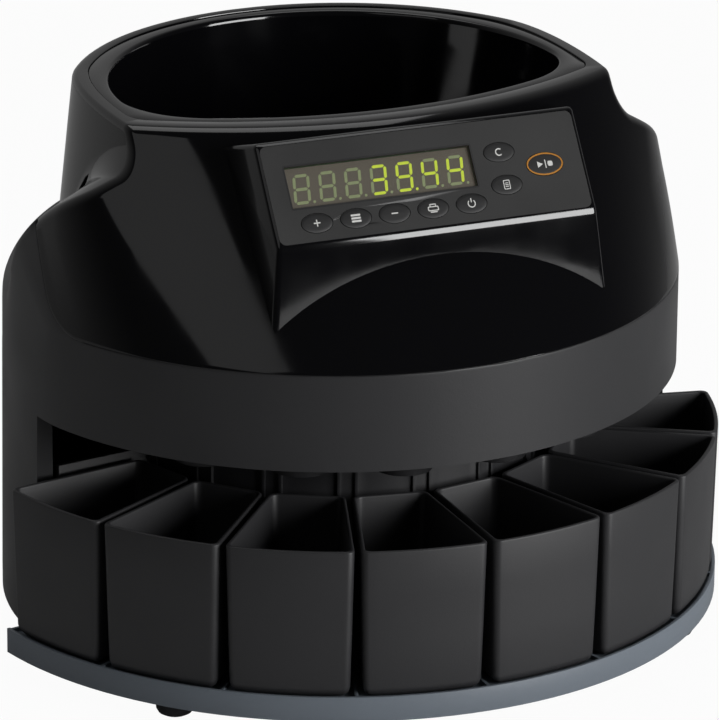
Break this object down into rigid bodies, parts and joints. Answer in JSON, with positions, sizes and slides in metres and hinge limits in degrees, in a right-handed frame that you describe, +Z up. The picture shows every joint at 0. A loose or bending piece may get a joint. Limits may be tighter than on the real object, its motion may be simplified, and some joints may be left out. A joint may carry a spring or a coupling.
{
  "type": "coin sorting machine",
  "caption": "Countertop coin sorter and counter with a round hopper, a sloping keypad with display, and a ring of pull-out coin cups.",
  "frame": {"origin": "on the table under the centre of the machine", "axes": "+Z up, -Y towards the user at the front, +X to the user's right"},
  "size_m": [0.3532, 0.3296, 0.2556],
  "materials": {
    "matte_housing": "fine textured, matte",
    "grey_tray": "blue-grey, satin",
    "rubber_foot": "soft rubber",
    "gloss_cover": "black, high gloss",
    "gloss_bowl": "black, high gloss",
    "keypad_film": "dark grey film, satin",
    "smoke_window": "smoked acrylic",
    "display_block": "black with green digits",
    "circuit_board": "green solder mask",
    "key_plastic": "black, satin",
    "cup_plastic": "fine textured, matte",
    "deck_plastic": "moulded grey",
    "chute_plastic": "moulded black",
    "track_metal": "brushed",
    "disc_metal": "turned",
    "bright_steel": "ground",
    "bearing_steel": "polished",
    "cast_housing": "cast",
    "pulley_plastic": "moulded",
    "belt_rubber": "ribbed rubber",
    "motor_case": "plated",
    "sheet_steel": "zinc plated",
    "socket_plastic": "moulded black",
    "rocker_red": "red, translucent",
    "screw_steel": "zinc plated"
  },
  "bodies": {
    "machine": {"base_tray": "grey_tray", "rubber_feet": "rubber_foot", "main_housing": "matte_housing", "cup_bay_wall": "matte_housing", "top_cover": "gloss_cover", "hopper_bowl": "gloss_bowl", "keypad_plate": "keypad_film", "display_window": "smoke_window", "display_module": "display_block", "keypad_board": "circuit_board", "mechanism_deck": "deck_plastic", "coin_chutes": "chute_plastic", "sorting_ring": "track_metal", "sensor_board": "circuit_board", "spindle_bearings": "bearing_steel", "bearing_housing": "cast_housing", "drive_motor": "motor_case", "motor_bracket": "sheet_steel", "drive_belt": "belt_rubber", "main_board": "circuit_board", "power_supply": "sheet_steel", "rear_panel": "matte_housing", "mains_inlet": "socket_plastic", "switch_frame": "socket_plastic", "printer_socket": "socket_plastic", "deck_screws": "screw_steel", "base_screws": "screw_steel", "panel_screws": "screw_steel"},
    "cup_1": {"coin_cup_1": "cup_plastic"},
    "cup_2": {"coin_cup_2": "cup_plastic"},
    "cup_3": {"coin_cup_3": "cup_plastic"},
    "cup_4": {"coin_cup_4": "cup_plastic"},
    "cup_5": {"coin_cup_5": "cup_plastic"},
    "cup_6": {"coin_cup_6": "cup_plastic"},
    "cup_7": {"coin_cup_7": "cup_plastic"},
    "cup_8": {"coin_cup_8": "cup_plastic"},
    "key_plus_cap": {"key_plus": "key_plastic"},
    "key_batch_cap": {"key_batch": "key_plastic"},
    "key_minus_cap": {"key_minus": "key_plastic"},
    "key_print_cap": {"key_print": "key_plastic"},
    "key_set_cap": {"key_set": "key_plastic"},
    "key_report_cap": {"key_report": "key_plastic"},
    "key_clear_cap": {"key_clear": "key_plastic"},
    "key_start_cap": {"key_start": "key_plastic"},
    "disc_drive": {"sorting_disc": "disc_metal", "disc_spindle": "bright_steel", "large_pulley": "pulley_plastic"},
    "motor_drive": {"motor_pulley": "pulley_plastic"},
    "rocker": {"rocker_switch": "rocker_red"}
  },
  "joints": [
    {"name": "cup_1_pull", "type": "slide", "parent": "machine", "child": "cup_1", "axis": [-0.8645, -0.3388, 0.3714], "range_m": [0, 0.1]},
    {"name": "cup_2_pull", "type": "slide", "parent": "machine", "child": "cup_2", "axis": [-0.7007, -0.6091, 0.3714], "range_m": [0, 0.1]},
    {"name": "cup_3_pull", "type": "slide", "parent": "machine", "child": "cup_3", "axis": [-0.4558, -0.8089, 0.3714], "range_m": [0, 0.1]},
    {"name": "cup_4_pull", "type": "slide", "parent": "machine", "child": "cup_4", "axis": [-0.158, -0.9149, 0.3714], "range_m": [0, 0.1]},
    {"name": "cup_5_pull", "type": "slide", "parent": "machine", "child": "cup_5", "axis": [0.158, -0.9149, 0.3714], "range_m": [0, 0.1]},
    {"name": "cup_6_pull", "type": "slide", "parent": "machine", "child": "cup_6", "axis": [0.4558, -0.8089, 0.3714], "range_m": [0, 0.1]},
    {"name": "cup_7_pull", "type": "slide", "parent": "machine", "child": "cup_7", "axis": [0.7007, -0.6091, 0.3714], "range_m": [0, 0.1]},
    {"name": "cup_8_pull", "type": "slide", "parent": "machine", "child": "cup_8", "axis": [0.8645, -0.3388, 0.3714], "range_m": [0, 0.1]},
    {"name": "key_plus_press", "type": "slide", "parent": "machine", "child": "key_plus_cap", "axis": [0, 0.8192, -0.5736], "range_m": [0, 0.0005], "stiffness_N_per_m": 800},
    {"name": "key_batch_press", "type": "slide", "parent": "machine", "child": "key_batch_cap", "axis": [0, 0.8192, -0.5736], "range_m": [0, 0.0005], "stiffness_N_per_m": 800},
    {"name": "key_minus_press", "type": "slide", "parent": "machine", "child": "key_minus_cap", "axis": [0, 0.8192, -0.5736], "range_m": [0, 0.0005], "stiffness_N_per_m": 800},
    {"name": "key_print_press", "type": "slide", "parent": "machine", "child": "key_print_cap", "axis": [0, 0.8192, -0.5736], "range_m": [0, 0.0005], "stiffness_N_per_m": 800},
    {"name": "key_set_press", "type": "slide", "parent": "machine", "child": "key_set_cap", "axis": [0, 0.8192, -0.5736], "range_m": [0, 0.0005], "stiffness_N_per_m": 800},
    {"name": "key_report_press", "type": "slide", "parent": "machine", "child": "key_report_cap", "axis": [0, 0.8192, -0.5736], "range_m": [0, 0.0005], "stiffness_N_per_m": 800},
    {"name": "key_clear_press", "type": "slide", "parent": "machine", "child": "key_clear_cap", "axis": [0, 0.8192, -0.5736], "range_m": [0, 0.0005], "stiffness_N_per_m": 800},
    {"name": "key_start_press", "type": "slide", "parent": "machine", "child": "key_start_cap", "axis": [0, 0.8192, -0.5736], "range_m": [0, 0.0005], "stiffness_N_per_m": 800},
    {"name": "disc_spin", "type": "hinge", "parent": "machine", "child": "disc_drive", "pos_m": [0, 0.0152, 0.12], "axis": [0, 0, 1], "continuous": true},
    {"name": "motor_spin", "type": "hinge", "parent": "machine", "child": "motor_drive", "pos_m": [-0.02668, 0.0885, 0.1], "axis": [0, 0, 1], "continuous": true},
    {"name": "rocker_tilt", "type": "hinge", "parent": "machine", "child": "rocker", "pos_m": [-0.004, 0.1503, 0.045], "axis": [0, 0, 1], "range_deg": [0, 14]}
  ],
  "couplings": [
    {"joint": "motor_spin", "follows": "disc_spin", "ratio": 4}
  ]
}
